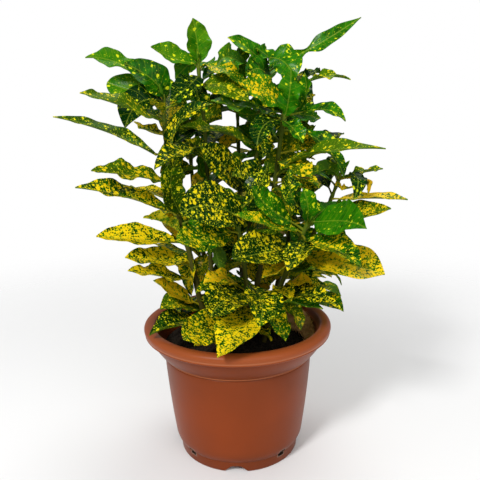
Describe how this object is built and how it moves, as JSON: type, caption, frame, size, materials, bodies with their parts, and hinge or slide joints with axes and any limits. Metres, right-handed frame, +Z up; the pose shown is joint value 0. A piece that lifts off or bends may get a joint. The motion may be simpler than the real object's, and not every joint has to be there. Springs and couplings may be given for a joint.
{
  "type": "potted croton",
  "caption": "Leafy foliage plant with glossy yellow-speckled leaves, standing in soil in a round moulded plastic flowerpot with a flared rolled rim",
  "frame": {"origin": "on the pot's axis at the height of the surface that the pot stands on", "axes": "+Z up, +X to the right as seen from the front, -Y towards the viewer in front of the pot"},
  "size_m": [0.4526, 0.3035, 0.5743],
  "materials": {
    "terracotta_plastic": "satin terracotta-coloured moulded plastic",
    "potting_soil": null,
    "coir_fibre": "matted brown coir fibre",
    "leaf": null
  },
  "bodies": {
    "root": {"pot": "terracotta_plastic", "soil": "potting_soil", "coir": "coir_fibre", "leafy_stem_left": "leaf", "leafy_stem_top": "leaf", "leafy_stem_crown": "leaf", "leafy_stem_upper_right": "leaf", "leafy_stem_right_outer": "leaf", "leafy_stem_right_front": "leaf", "leafy_stem_front": "leaf", "leafy_stem_back_left": "leaf", "leafy_stem_back": "leaf", "leafy_stem_back_right": "leaf"}
  },
  "joints": []
}
